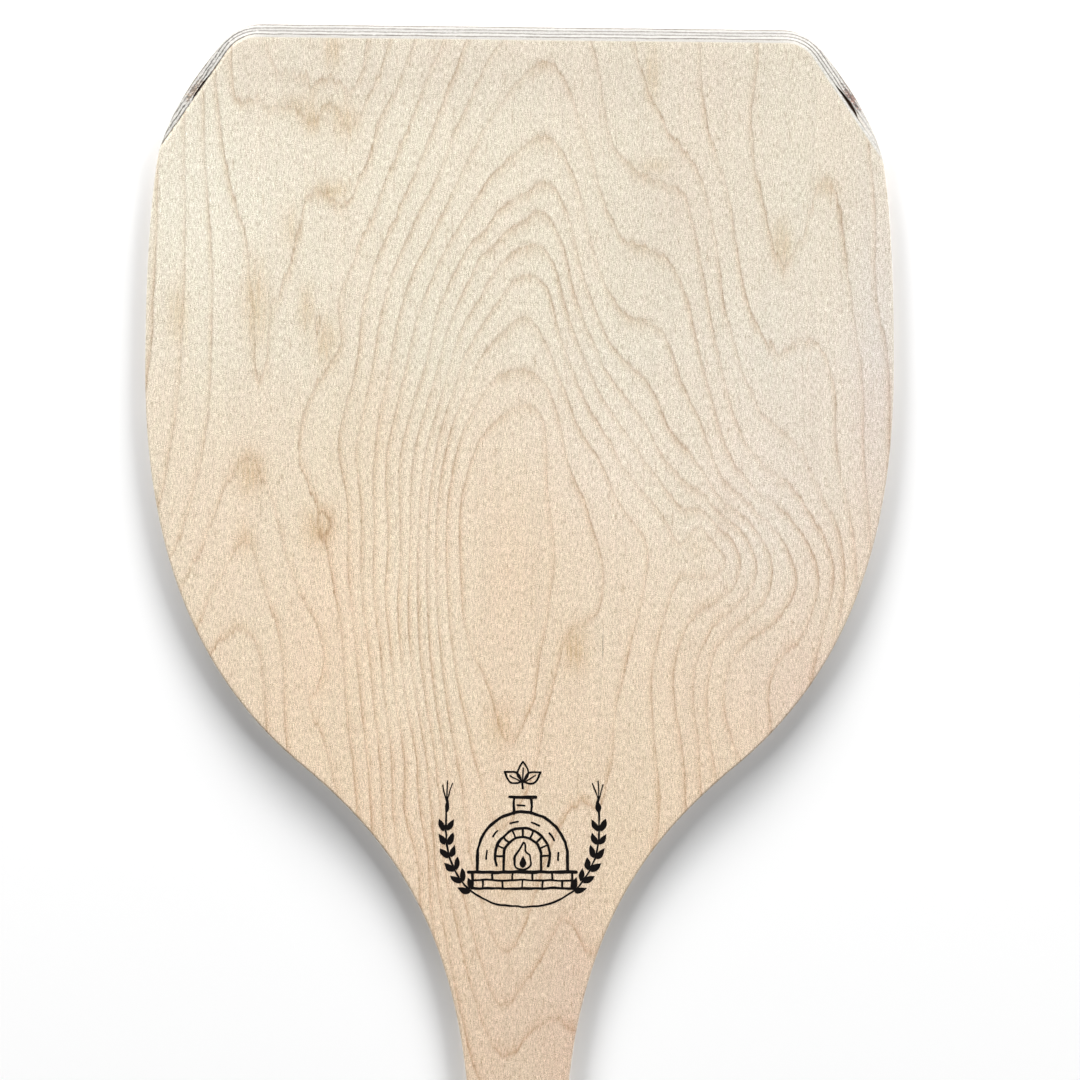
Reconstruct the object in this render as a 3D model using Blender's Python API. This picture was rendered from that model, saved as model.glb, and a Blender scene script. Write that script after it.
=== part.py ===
"""Pizza peel: a one-piece paddle cut from five-ply birch plywood.

The peel lies flat with its face up. +Y runs along the handle towards the front edge, +X is
across the head and +Z is up. The origin is on the underside, at the middle of the length and
of the width. Five veneers with crossed grain are bonded by four glue films. The crossband
under the face veneer is laid as two strips that stop short of each other, so a narrow void
runs across the head and opens at both clipped front corners.
"""

import math

import bmesh
import bpy
from mathutils import Matrix, Vector

# Overall size, in metres.
LENGTH = 0.600
HEAD_WIDTH = 0.300
THICKNESS = 0.0065

# Lay-up: five veneers, with a glue film and its clearances between each pair.
VENEERS = 5
GLUE_FILM = 0.00010
FILM_CLEARANCE = 0.00002
JOINT_HEIGHT = GLUE_FILM + 2 * FILM_CLEARANCE
VENEER = (THICKNESS - (VENEERS - 1) * JOINT_HEIGHT) / VENEERS

# Outline of the right half, as (half width, distance behind the front edge).
# The front edge is straight and ends in a round corner; after that each curve is given by
# its two handles and its end point.
HALF_HEAD = HEAD_WIDTH / 2
FRONT_HALF_WIDTH = 0.1044
CORNER_RADIUS = 0.020
CORNER_TURN = math.radians(48)
CLIPPED_CORNER = ((0.1328, 0.0217), (0.1426, 0.0371), (0.1456, 0.0565))
CHEEK = ((0.1490, 0.0780), (HALF_HEAD, 0.1120), (HALF_HEAD, 0.1385))
SHOULDER = ((HALF_HEAD, 0.2075), (0.1316, 0.2605), (0.0870, 0.2975))
NECK = ((0.0570, 0.3225), (0.0280, 0.3545), (0.0206, 0.4235))
GRIP_END_RADIUS = 0.020
GRIP_END = LENGTH - GRIP_END_RADIUS
GRIP = ((0.0174, 0.4535), (GRIP_END_RADIUS, 0.5450), (GRIP_END_RADIUS, GRIP_END))

# Steps that each stretch of the outline is divided into.
CORNER_STEPS = 6
CURVES = ((CLIPPED_CORNER, 5), (CHEEK, 5), (SHOULDER, 14), (NECK, 11), (GRIP, 6))
GRIP_END_STEPS = 7

# Both faces are rounded over all the way round.
EDGE_RADIUS = 0.0010
EDGE_STEPS = 3

# The loading bevel is ground across the front edge and straight off both corners. It leaves
# a thin lip, and it runs out where the clipped corners bow in towards the sides.
BEVEL_RUN = 0.0070
BEVEL_LIP = 0.00095
BEVEL_FRONT_HALF = 0.1056
BEVEL_CORNER_RADIUS = 0.0205
BEVEL_TURN = math.radians(55.5)
BEVEL_REACH = 0.150

# Void between the two strips of the crossband.
VOID_DISTANCE = 0.0285
VOID_WIDTH = 0.0085
VOID_SKEW = math.radians(0.65)

# Hanging hole, with a small countersink on both faces.
HOLE_RADIUS = 0.0055
HOLE_DISTANCE = 0.5790
HOLE_EASING = 0.0006
HOLE_SIDES = 28

# How far cutters and blanks stand clear of what they cut.
OVERSIZE = 0.010

WOOD_ROUGHNESS = 0.55
GLUE_ROUGHNESS = 0.35
FACE_COLOUR = (0.76, 0.67, 0.53)
CROSSBAND_COLOUR = (0.68, 0.55, 0.40)
CORE_COLOUR = (0.74, 0.63, 0.48)
BACK_COLOUR = (0.74, 0.65, 0.51)
GLUE_COLOUR = (0.14, 0.07, 0.035)


def clear_scene():
    """Remove whatever the open file already holds."""
    for item in list(bpy.data.objects):
        bpy.data.objects.remove(item, do_unlink=True)


def make_material(name, colour, roughness):
    """Principled material for one sub-part."""
    material = bpy.data.materials.new(name)
    material.use_nodes = True
    shader = material.node_tree.nodes["Principled BSDF"]
    shader.inputs["Base Color"].default_value = (*colour, 1.0)
    shader.inputs["Roughness"].default_value = roughness
    shader.inputs["Metallic"].default_value = 0.0
    material.diffuse_color = (*colour, 1.0)
    return material


def add_object(name, mesh):
    """Turn a bmesh into an object of that name."""
    data = bpy.data.meshes.new(name)
    mesh.to_mesh(data)
    mesh.free()
    item = bpy.data.objects.new(name, data)
    bpy.context.scene.collection.objects.link(item)
    return item


def hide_helper(item):
    """Mark an object as a cutter or a guide."""
    item.hide_render = True
    item.display_type = "WIRE"
    return item


def add_boolean(item, other, operation):
    """Cut an object with another one, and keep the modifier."""
    modifier = item.modifiers.new(f"{operation.title()} {other.name}", "BOOLEAN")
    modifier.operation = operation
    modifier.solver = "EXACT"
    modifier.object = other


def cubic(start, handle_a, handle_b, end, steps):
    """Points along a cubic curve, without its start point."""
    points = []
    for step in range(1, steps + 1):
        t = step / steps
        s = 1 - t
        near = s**3 * start + 3 * s * s * t * handle_a
        far = 3 * s * t * t * handle_b + t**3 * end
        points.append(near + far)
    return points


def corner_arc(half_width, centre_depth, radius, turn, steps):
    """Points of a front corner, from the straight edge round towards the side."""
    points = []
    for step in range(steps + 1):
        angle = turn * step / steps
        x = half_width + radius * math.sin(angle)
        points.append(Vector((x, centre_depth - radius * math.cos(angle))))
    return points


def half_outline():
    """Right half of the outline, from the front edge to the middle of the handle's end."""
    points = corner_arc(FRONT_HALF_WIDTH, CORNER_RADIUS, CORNER_RADIUS, CORNER_TURN, CORNER_STEPS)
    for curve, steps in CURVES:
        handle_a, handle_b, end = (Vector(point) for point in curve)
        points += cubic(points[-1], handle_a, handle_b, end, steps)
    for step in range(1, GRIP_END_STEPS + 1):
        angle = math.radians(90) * step / GRIP_END_STEPS
        x = GRIP_END_RADIUS * math.cos(angle)
        points.append(Vector((x, GRIP_END + GRIP_END_RADIUS * math.sin(angle))))
    points[-1].x = 0.0
    return points


def place(right_half):
    """Mirror a right half, and set it in the peel's frame, anticlockwise from above."""
    on_axis = right_half[-1].x == 0.0
    mirrored = right_half[:-1] if on_axis else right_half
    whole = right_half + [Vector((-point.x, point.y)) for point in reversed(mirrored)]
    return [Vector((point.x, LENGTH / 2 - point.y)) for point in reversed(whole)]


def inset(outline, distance):
    """Move each point of an anticlockwise outline inwards."""
    moved = []
    for index, point in enumerate(outline):
        before = (point - outline[index - 1]).normalized()
        after = (outline[(index + 1) % len(outline)] - point).normalized()
        along = (before + after).normalized()
        moved.append(point + distance * Vector((-along.y, along.x)))
    return moved


def loft(name, levels):
    """Closed solid through a stack of (outline, height), from the lowest to the highest."""
    mesh = bmesh.new()
    rings = [[mesh.verts.new((*point, height)) for point in outline] for outline, height in levels]
    for lower, upper in zip(rings, rings[1:]):
        for index in range(len(lower)):
            following = (index + 1) % len(lower)
            mesh.faces.new((lower[index], lower[following], upper[following], upper[index]))
    mesh.faces.new(list(reversed(rings[0])))
    mesh.faces.new(rings[-1])
    return add_object(name, mesh)


def make_blank():
    """Whole peel as one solid with rounded-over faces, before the bevel and the hole."""
    outline = place(half_outline())
    levels = []
    for step in range(EDGE_STEPS + 1):
        angle = math.radians(90) * step / EDGE_STEPS
        rounded = inset(outline, EDGE_RADIUS * (1 - math.sin(angle)))
        levels.append((rounded, EDGE_RADIUS * (1 - math.cos(angle))))
    levels += [(rounded, THICKNESS - height) for rounded, height in reversed(levels)]
    return hide_helper(loft("blank", levels))


def bevel_outline(height):
    """Outline of the space left by the bevel at one height."""
    run_per_height = BEVEL_RUN / (THICKNESS - BEVEL_LIP)
    radius = BEVEL_CORNER_RADIUS - (height - BEVEL_LIP) * run_per_height
    points = corner_arc(BEVEL_FRONT_HALF, BEVEL_CORNER_RADIUS, radius, BEVEL_TURN, CORNER_STEPS)
    diagonal = Vector((math.cos(BEVEL_TURN), math.sin(BEVEL_TURN)))
    points.append(points[-1] + BEVEL_REACH * diagonal)
    points.append(Vector((points[-1].x, LENGTH + OVERSIZE)))
    return place(points)


def make_bevel_envelope():
    """Everything that the bevel leaves standing, as a block with sloping front faces."""
    bottom = -THICKNESS
    top = 1.5 * THICKNESS
    levels = [(bevel_outline(bottom), bottom), (bevel_outline(top), top)]
    return hide_helper(loft("bevel_envelope", levels))


def make_hole_cutter():
    """Turned cutter for the hanging hole, which flares at both faces."""
    flare = HOLE_RADIUS + HOLE_EASING + OVERSIZE
    profile = (
        (flare, -OVERSIZE),
        (HOLE_RADIUS, HOLE_EASING),
        (HOLE_RADIUS, THICKNESS - HOLE_EASING),
        (flare, THICKNESS + OVERSIZE),
    )
    centre = Vector((0.0, LENGTH / 2 - HOLE_DISTANCE))
    levels = []
    for radius, height in profile:
        circle = []
        for side in range(HOLE_SIDES):
            angle = math.tau * side / HOLE_SIDES
            circle.append(centre + radius * Vector((math.cos(angle), math.sin(angle))))
        levels.append((circle, height))
    return hide_helper(loft("hole_cutter", levels))


def veneer_bottom(number):
    """Height of the underside of a veneer, counted from the back veneer as 0."""
    return number * (VENEER + JOINT_HEIGHT)


def add_layer(name, blank, bottom, top, back, front, material, skew=0.0):
    """One layer: the part of the blank between two heights and two places along Y."""
    half_width = HALF_HEAD + OVERSIZE
    mesh = bmesh.new()
    bmesh.ops.create_cube(mesh, size=1.0)
    size = Matrix.Diagonal((2 * half_width, front - back, top - bottom, 1.0))
    bmesh.ops.transform(mesh, matrix=size, verts=mesh.verts)
    item = add_object(name, mesh)
    item.location = (0.0, (front + back) / 2, (top + bottom) / 2)
    item.rotation_euler.z = skew
    item.data.materials.append(material)
    add_boolean(item, blank, "INTERSECT")
    item.data.shade_smooth()
    item.data.set_sharp_from_angle(angle=math.radians(35))
    return item


def add_full_layer(name, blank, bottom, top, material):
    """Layer that covers the whole peel."""
    end = LENGTH / 2 + OVERSIZE
    return add_layer(name, blank, bottom, top, -end, end, material)


def make_outer_veneers(blank):
    """Face and back veneers, with their grain along the handle."""
    face = make_material("face_veneer", FACE_COLOUR, WOOD_ROUGHNESS)
    add_full_layer("face_veneer", blank, veneer_bottom(4), THICKNESS + OVERSIZE, face)
    back = make_material("back_veneer", BACK_COLOUR, WOOD_ROUGHNESS)
    add_full_layer("back_veneer", blank, -OVERSIZE, VENEER, back)


def make_inner_veneers(blank):
    """Core veneer, with its grain along the handle, and the crossband behind it."""
    core = make_material("core_veneer", CORE_COLOUR, WOOD_ROUGHNESS)
    core_bottom = veneer_bottom(2)
    add_full_layer("core_veneer", blank, core_bottom, core_bottom + VENEER, core)
    crossband = make_material("back_crossband", CROSSBAND_COLOUR, WOOD_ROUGHNESS)
    crossband_bottom = veneer_bottom(1)
    add_full_layer("back_crossband", blank, crossband_bottom, crossband_bottom + VENEER, crossband)


def make_face_crossband(blank):
    """Crossband under the face veneer, in two strips with the void between them."""
    bottom = veneer_bottom(3)
    top = bottom + VENEER
    void_centre = LENGTH / 2 - VOID_DISTANCE
    end = LENGTH / 2 + OVERSIZE
    strips = (
        ("crossband_front_strip", void_centre + VOID_WIDTH / 2, end, -VOID_SKEW),
        ("crossband_rear_strip", -end, void_centre - VOID_WIDTH / 2, -VOID_SKEW),
    )
    for name, back, front, skew in strips:
        material = make_material(name, CROSSBAND_COLOUR, WOOD_ROUGHNESS)
        add_layer(name, blank, bottom, top, back, front, material, skew)


def make_glue_films(blank):
    """Four phenolic glue films, numbered from the back."""
    for number in range(1, VENEERS):
        name = f"glue_film_{number}"
        bottom = veneer_bottom(number) - FILM_CLEARANCE - GLUE_FILM
        material = make_material(name, GLUE_COLOUR, GLUE_ROUGHNESS)
        add_full_layer(name, blank, bottom, bottom + GLUE_FILM, material)


def build():
    """Make the whole peel."""
    clear_scene()
    blank = make_blank()
    add_boolean(blank, make_bevel_envelope(), "INTERSECT")
    add_boolean(blank, make_hole_cutter(), "DIFFERENCE")
    make_outer_veneers(blank)
    make_inner_veneers(blank)
    make_face_crossband(blank)
    make_glue_films(blank)


build()
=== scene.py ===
"""Looks of the pizza peel: a one-piece paddle cut from five-ply birch plywood.

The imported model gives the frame. Every ply and every glue film is made again here on the same
outline, with a fine edge, wavy glue lines and a bevel with a soft crest, and a printed mark is
laid on the face. Sizes are in metres. +Y runs along the handle towards the front edge.
"""

import math

import bpy
import numpy as np
from mathutils import Euler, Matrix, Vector
from mathutils.geometry import delaunay_2d_cdt


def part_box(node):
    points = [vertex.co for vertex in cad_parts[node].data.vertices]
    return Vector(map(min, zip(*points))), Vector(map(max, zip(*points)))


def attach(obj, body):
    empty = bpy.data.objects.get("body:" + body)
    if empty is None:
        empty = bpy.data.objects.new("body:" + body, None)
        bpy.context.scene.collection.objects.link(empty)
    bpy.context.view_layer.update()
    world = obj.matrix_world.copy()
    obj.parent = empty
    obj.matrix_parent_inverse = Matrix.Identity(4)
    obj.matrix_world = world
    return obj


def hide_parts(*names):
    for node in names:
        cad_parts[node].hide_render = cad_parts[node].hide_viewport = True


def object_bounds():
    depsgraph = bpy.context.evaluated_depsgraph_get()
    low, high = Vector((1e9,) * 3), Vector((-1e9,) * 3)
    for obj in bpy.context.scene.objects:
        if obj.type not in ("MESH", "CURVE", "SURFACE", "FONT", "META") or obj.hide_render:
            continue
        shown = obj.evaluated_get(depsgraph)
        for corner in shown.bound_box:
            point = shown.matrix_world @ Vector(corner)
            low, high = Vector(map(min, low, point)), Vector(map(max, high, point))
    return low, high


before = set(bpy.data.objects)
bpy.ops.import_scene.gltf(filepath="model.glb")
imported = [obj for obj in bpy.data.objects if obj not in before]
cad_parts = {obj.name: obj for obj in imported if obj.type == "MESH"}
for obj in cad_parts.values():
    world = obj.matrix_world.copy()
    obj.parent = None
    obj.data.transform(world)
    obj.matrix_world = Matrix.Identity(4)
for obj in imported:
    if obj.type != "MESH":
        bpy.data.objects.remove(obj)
cad_low, cad_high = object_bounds()

MM = 0.001
BODY = "root"

# ---- sizes shared with the CAD
LENGTH = cad_high.y - cad_low.y
THICKNESS = cad_high.z - cad_low.z
HALF_HEAD = (cad_high.x - cad_low.x) / 2
FRONT_Y = cad_high.y

# Lay-up, from the nodes' own boxes.
FILMS = 4
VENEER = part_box("back_veneer")[1].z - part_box("back_veneer")[0].z
JOINT = (THICKNESS - 5 * VENEER) / FILMS

# Right half of the outline as (half width, distance behind the front edge), as in the CAD.
FRONT_HALF_WIDTH = 0.1044
CORNER_RADIUS = 0.020
CORNER_TURN = math.radians(48)
CLIPPED_CORNER = ((0.1328, 0.0217), (0.1426, 0.0371), (0.1456, 0.0565))
CHEEK = ((0.1490, 0.0780), (HALF_HEAD, 0.1120), (HALF_HEAD, 0.1385))
SHOULDER = ((HALF_HEAD, 0.2075), (0.1316, 0.2605), (0.0870, 0.2975))
NECK = ((0.0570, 0.3225), (0.0280, 0.3545), (0.0206, 0.4235))
GRIP_END_RADIUS = 0.020
GRIP_END = LENGTH - GRIP_END_RADIUS
GRIP = ((0.0174, 0.4535), (GRIP_END_RADIUS, 0.5450), (GRIP_END_RADIUS, GRIP_END))
OUTLINE_SPACING = 0.8 * MM
CURVE_STEPS, ARC_STEPS = 160, 60

# Round-over of both faces, and the loading bevel with its soft crest.
EDGE_RADIUS = 1.0 * MM
BEVEL_RUN = 7.0 * MM
BEVEL_LIP = 0.95 * MM
BEVEL_FRONT_HALF = 0.1056
BEVEL_CORNER_RADIUS = 0.0205
BEVEL_TURN = math.radians(55.5)
CREST_RADIUS = 1.3 * MM
BLEND = 0.25 * MM
# The edge is moved inwards to the bevel in rounds.
EDGE_ROUNDS = 8
LEAST_GAIN = 0.3
FARTHEST_MOVE = 20.0 * MM

# Void in the crossband under the face; it opens towards the face like a U.
VOID_Y = FRONT_Y - 0.0285
VOID_SKEW = math.radians(0.65)
VOID_OPENING = 11.2 * MM

# Hanging hole.
HOLE_RADIUS = 5.5 * MM
HOLE_EASING = 0.6 * MM
HOLE_Y = FRONT_Y - 0.5790
HOLE_SIDES = 120


# ---- outline and edge profile
def cubic(start, handle_a, handle_b, end):
    """Points along a cubic curve, without its start point."""
    t = np.linspace(0.0, 1.0, CURVE_STEPS + 1)[1:, None]
    s = 1.0 - t
    start, handle_a, handle_b, end = map(np.asarray, (start, handle_a, handle_b, end))
    return s**3 * start + 3 * s * s * t * handle_a + 3 * s * t * t * handle_b + t**3 * end


def half_outline():
    """Right half of the outline, from the front edge to the handle's end."""
    angle = np.linspace(0.0, CORNER_TURN, ARC_STEPS)
    across = FRONT_HALF_WIDTH + CORNER_RADIUS * np.sin(angle)
    stretches = [np.column_stack((across, CORNER_RADIUS * (1 - np.cos(angle))))]
    for handle_a, handle_b, end in (CLIPPED_CORNER, CHEEK, SHOULDER, NECK, GRIP):
        stretches.append(cubic(stretches[-1][-1], handle_a, handle_b, end))
    angle = np.linspace(0.0, math.pi / 2, ARC_STEPS)[1:]
    end = (GRIP_END_RADIUS * np.cos(angle), GRIP_END + GRIP_END_RADIUS * np.sin(angle))
    stretches.append(np.column_stack(end))
    return np.vstack(stretches)


def evenly(points, count=None):
    """Evenly spaced points along a line, as many as given or else as suit OUTLINE_SPACING."""
    steps = np.linalg.norm(np.diff(points[:, :2], axis=0), axis=1)
    along = np.concatenate(([0.0], np.cumsum(steps)))
    places = np.linspace(0.0, along[-1], count or round(along[-1] / OUTLINE_SPACING) + 1)
    return np.column_stack([np.interp(places, along, column) for column in points.T])


def whole_outline():
    """Closed outline, anticlockwise from above, at an even spacing, and its inward normals."""
    right = half_outline()
    loop = np.vstack((right, right[-2::-1] * (-1, 1)))[::-1]
    loop = np.vstack((loop, loop[:1]))
    points = evenly(np.column_stack((loop[:, 0], FRONT_Y - loop[:, 1])))[:-1]
    tangent = np.roll(points, -1, axis=0) - np.roll(points, 1, axis=0)
    tangent /= np.linalg.norm(tangent, axis=1)[:, None]
    return points, np.column_stack((-tangent[:, 1], tangent[:, 0]))


OUTLINE, INWARD = whole_outline()


def round_over(height, radius):
    """How far rounding both faces' edges by a radius moves the wall back at a height."""
    depth = np.clip(np.maximum(height - (THICKNESS - radius), radius - height), 0.0, radius)
    return radius - np.sqrt(radius**2 - depth**2)


def bevel_depth(height):
    """How far inside the bevel's envelope the bevel has a given height."""
    rise = THICKNESS - BEVEL_LIP
    slope = math.atan2(rise, BEVEL_RUN)
    ramp = (height - BEVEL_LIP) * BEVEL_RUN / rise
    crest_start = THICKNESS - CREST_RADIUS * (1 - math.cos(slope))
    middle = BEVEL_RUN + CREST_RADIUS * math.tan(slope / 2)
    above = np.clip(height - (THICKNESS - CREST_RADIUS), 0.0, CREST_RADIUS)
    crest = middle - np.sqrt(CREST_RADIUS**2 - above**2)
    return np.where(height > crest_start, crest, ramp)


def inside_bevel(points):
    """Distance inside the bevel's envelope, and the direction straight out of it."""
    side = np.where(points[:, 0] < 0, -1.0, 1.0)
    across = np.abs(points[:, 0]) - BEVEL_FRONT_HALF
    ahead = points[:, 1] - (FRONT_Y - BEVEL_CORNER_RADIUS)
    angle = np.clip(np.arctan2(across, ahead), 0.0, BEVEL_TURN)
    distance = BEVEL_CORNER_RADIUS - across * np.sin(angle) - ahead * np.cos(angle)
    return distance, np.column_stack((side * np.sin(angle), np.cos(angle)))


def edge_points(height):
    """The outline at given heights, moved in by the round-over and by the bevel."""
    wanted = bevel_depth(height)
    moved = np.zeros(len(OUTLINE))
    for _ in range(EDGE_ROUNDS):
        distance, outwards = inside_bevel(OUTLINE + moved[:, None] * INWARD)
        gain = np.clip(-(outwards * INWARD).sum(axis=1), LEAST_GAIN, 1.0)
        moved = np.clip(moved + (wanted - distance) / gain, -FARTHEST_MOVE, FARTHEST_MOVE)
    rounded = round_over(height, EDGE_RADIUS)
    blend = (rounded + moved + np.sqrt((rounded - moved) ** 2 + BLEND**2)) / 2
    inset = np.where(moved > rounded - 6 * BLEND, blend, rounded)
    return np.column_stack((OUTLINE + inset[:, None] * INWARD, height))


def hole_points(height):
    """The hanging hole's wall at given heights, clockwise, with eased rims."""
    radius = HOLE_RADIUS + round_over(height, HOLE_EASING)
    angle = -np.linspace(0.0, math.tau, HOLE_SIDES, endpoint=False)
    return np.column_stack((radius * np.cos(angle), HOLE_Y + radius * np.sin(angle), height))


# ---- wavy glue lines
def ripple(points, seed, waves=14, shortest=7.0 * MM, longest=60.0 * MM):
    """Smooth unevenness between about -1 and 1, as a sum of waves in all directions."""
    random = np.random.default_rng(seed)
    total = np.zeros(len(points))
    for _ in range(waves):
        heading = random.uniform(0.0, math.tau)
        wavelength = shortest * (longest / shortest) ** random.uniform()
        phase = random.uniform(0.0, math.tau)
        travel = points[:, 0] * math.cos(heading) + points[:, 1] * math.sin(heading)
        total += np.sin(math.tau * travel / wavelength + phase)
    return total / math.sqrt(waves)


GLUE_RIPPLE = 0.10 * MM
TORN_RIPPLE = 0.11 * MM
TORN_FROM, TORN_FULL = -0.112, -0.126


def glue_height(film, top, points):
    """Height of a glue film's underside or top; films are numbered 1 to 4 from the back."""
    level = film * (VENEER + JOINT) - (0.0 if top else JOINT)
    smooth = GLUE_RIPPLE * ripple(points, seed=40 + film)
    # The veneers tore a little at the left corner, so the glue lines are ragged there.
    torn = np.clip((points[:, 0] - TORN_FROM) / (TORN_FULL - TORN_FROM), 0.0, 1.0)
    ragged = ripple(points, seed=50 + film, shortest=2.4 * MM, longest=7.0 * MM)
    return level + smooth + TORN_RIPPLE * torn * ragged


def surface(side, points):
    """Height of a layer's boundary."""
    if side in FLAT_FACES:
        return np.full(len(points), THICKNESS * FLAT_FACES.index(side))
    return glue_height(*side, points)


# ---- meshes of the layers
GRID_SPACING = 1.6 * MM
GRID_MARGIN = 1.0 * MM
SHARP_ANGLE = math.radians(40)

# Rings of a layer, as shares of its height; the outer plies need many for their round-over.
ROUNDED = np.sin(np.linspace(0.0, math.pi / 2, 19))
INNER_FRACTIONS = (0.0, 0.35, 0.65, 1.0)
STRIP_FRACTIONS = np.linspace(0.0, 1.0, 13)
FLAT_FACES = ("underside", "loading_face")

# Every layer by its CAD node: its two boundaries, its rings and its slot. A boundary is a flat
# face or a side of a film: (film's number from the back, whether its top).
CROSSBAND = (((3, True), (4, False)), STRIP_FRACTIONS, "crossband_wood")
LAYERS = {
    "crossband_front_strip": CROSSBAND,
    "crossband_rear_strip": CROSSBAND,
    "face_veneer": (((4, True), "loading_face"), ROUNDED, "face_wood"),
    "back_veneer": (("underside", (1, False)), 1 - ROUNDED[::-1], "back_wood"),
    "core_veneer": (((2, True), (3, False)), INNER_FRACTIONS, "core_wood"),
    "back_crossband": (((1, True), (2, False)), INNER_FRACTIONS, "crossband_wood"),
}
for film in range(1, FILMS + 1):
    LAYERS[f"glue_film_{film}"] = (((film, False), (film, True)), (0.0, 1.0), "glue")


def fill(loops, inner):
    """Triangles that fill closed loops of 2-D points; the second loop is the hanging hole."""
    points = [Vector(point) for loop in loops for point in loop]
    edges = []
    for loop in loops:
        first = len(edges)
        edges += [(first + i, first + (i + 1) % len(loop)) for i in range(len(loop))]
    points += [Vector(point) for point in inner]
    result = delaunay_2d_cdt(points, edges, [], 1, 1e-9)
    if len(result[0]) != len(points):
        raise ValueError("the outline crosses itself")
    order = [origin[0] for origin in result[3]]
    triangles = []
    for face in result[2]:
        corners = [order[corner] for corner in face]
        if len(loops) > 1:
            middle = sum((points[corner] for corner in corners), Vector((0, 0))) / 3
            if (middle - Vector((0, HOLE_Y))).length < HOLE_RADIUS:
                continue
        triangles.append(corners)
    return triangles


def wall(first, count, following):
    """Quads between a ring of vertices and the ring above it."""
    pairs = ((i, (i + 1) % count) for i in range(count))
    return [(first + i, first + j, following + j, following + i) for i, j in pairs]


def add_object(name, data):
    """An object in the scene."""
    item = bpy.data.objects.new(name, data)
    bpy.context.scene.collection.objects.link(item)
    return item


def add_piece(name, vertices, faces, nodes):
    """A mesh object that stands for CAD nodes."""
    mesh = bpy.data.meshes.new(name)
    mesh.from_pydata([tuple(v) for v in vertices], [], faces)
    mesh.validate()
    mesh.shade_smooth()
    mesh.set_sharp_from_angle(angle=SHARP_ANGLE)
    piece = add_object(name, mesh)
    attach(piece, BODY)
    if nodes:
        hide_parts(*nodes)
    return piece


def vertex_places(piece):
    """A piece's vertices as an array."""
    places = np.empty(3 * len(piece.data.vertices))
    piece.data.vertices.foreach_get("co", places)
    return places.reshape(-1, 3)


def store(piece, name, values):
    """Keep one number or one vector for each vertex of a piece, for its material."""
    kind, field = ("FLOAT", "value") if values.ndim == 1 else ("FLOAT_VECTOR", "vector")
    attribute = piece.data.attributes.new(name, kind, "POINT")
    attribute.data.foreach_set(field, values.ravel())


def grid_inside(ring):
    """Grid of points inside a ring and clear of its edge and of the hole."""
    points = []
    x, y = ring.T
    next_x, next_y = np.roll(ring, -1, axis=0).T
    rows = np.arange(y.min() + GRID_MARGIN, y.max() - GRID_MARGIN, GRID_SPACING)
    for row, level in enumerate(rows):
        crossing = (y - level) * (next_y - level) < 0
        share = (level - y[crossing]) / (next_y - y)[crossing]
        crossings = x[crossing] + share * (next_x - x)[crossing]
        start = crossings.min() + GRID_MARGIN + (row % 2) * GRID_SPACING / 2
        for place in np.arange(start, crossings.max() - GRID_MARGIN, GRID_SPACING):
            if math.hypot(place, level - HOLE_Y) > HOLE_RADIUS + HOLE_EASING + GRID_MARGIN:
                points.append((place, level))
    return points


def between(low, high, points, fraction):
    """Heights at a share of the way from one boundary of a layer to the other."""
    bottom = surface(low, points)
    return bottom + fraction * (surface(high, points) - bottom)


def hole_ring(low, high, fraction):
    """The hanging hole's wall at a share of a layer's height."""
    around = hole_points(np.full(HOLE_SIDES, THICKNESS / 2))[:, :2]
    return hole_points(between(low, high, around, fraction))


def loft(node, sides, loops, holes):
    """A closed piece through loops of equal size, with the hanging hole's rings, if it has any."""
    size = len(loops[0])
    rings = [np.vstack(pair) for pair in zip(loops, holes)] if holes else loops
    stride = len(rings[0])
    vertices = [tuple(point) for ring in rings for point in ring]
    faces = []
    for level in range(len(rings) - 1):
        first = level * stride
        faces += wall(first, size, first + stride)
        if holes:
            faces += wall(first + size, HOLE_SIDES, first + stride + size)
    for level, side in ((0, sides[0]), (len(rings) - 1, sides[1])):
        ring = rings[level][:, :2]
        inner = grid_inside(ring[:size]) if side in FLAT_FACES else []
        places = list(range(level * stride, (level + 1) * stride))
        places += list(range(len(vertices), len(vertices) + len(inner)))
        for triangle in fill((ring[:size], ring[size:]) if holes else (ring,), inner):
            corners = [places[corner] for corner in triangle]
            faces.append(corners if level else corners[::-1])
        if inner:
            vertices += list(np.column_stack((inner, surface(side, np.array(inner)))))
    return add_piece(f"{node}_fine", vertices, faces, [node])


def layer(node):
    """A whole ply or film."""
    sides, fractions, _ = LAYERS[node]
    loops = [edge_points(between(*sides, OUTLINE, fraction)) for fraction in fractions]
    return loft(node, sides, loops, [hole_ring(*sides, fraction) for fraction in fractions])


# ---- crossband strips and void
VOID_TEAR = 0.10
VOID_FOOT = 0.02
VOID_FLOOR = 0.28
VOID_FLARE = 0.4
# The void is wider and deeper on the right than on the left, by these shares.
VOID_GROWTH = 0.14
VOID_DEEPENING = 0.20
VOID_STEPS = 320
TEAR_WAVES = (2.5 * MM, 40.0 * MM)
STRIP_FRONT_STEPS, STRIP_REAR_STEPS = 420, 1300

# The rear strip has come away from the face ply near the right end of the void.
SPLIT_PLACE = (0.1360, 0.2640)
SPLIT_REACH = (0.0060, 0.0075)
SPLIT_DEPTH = 0.25 * MM


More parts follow.
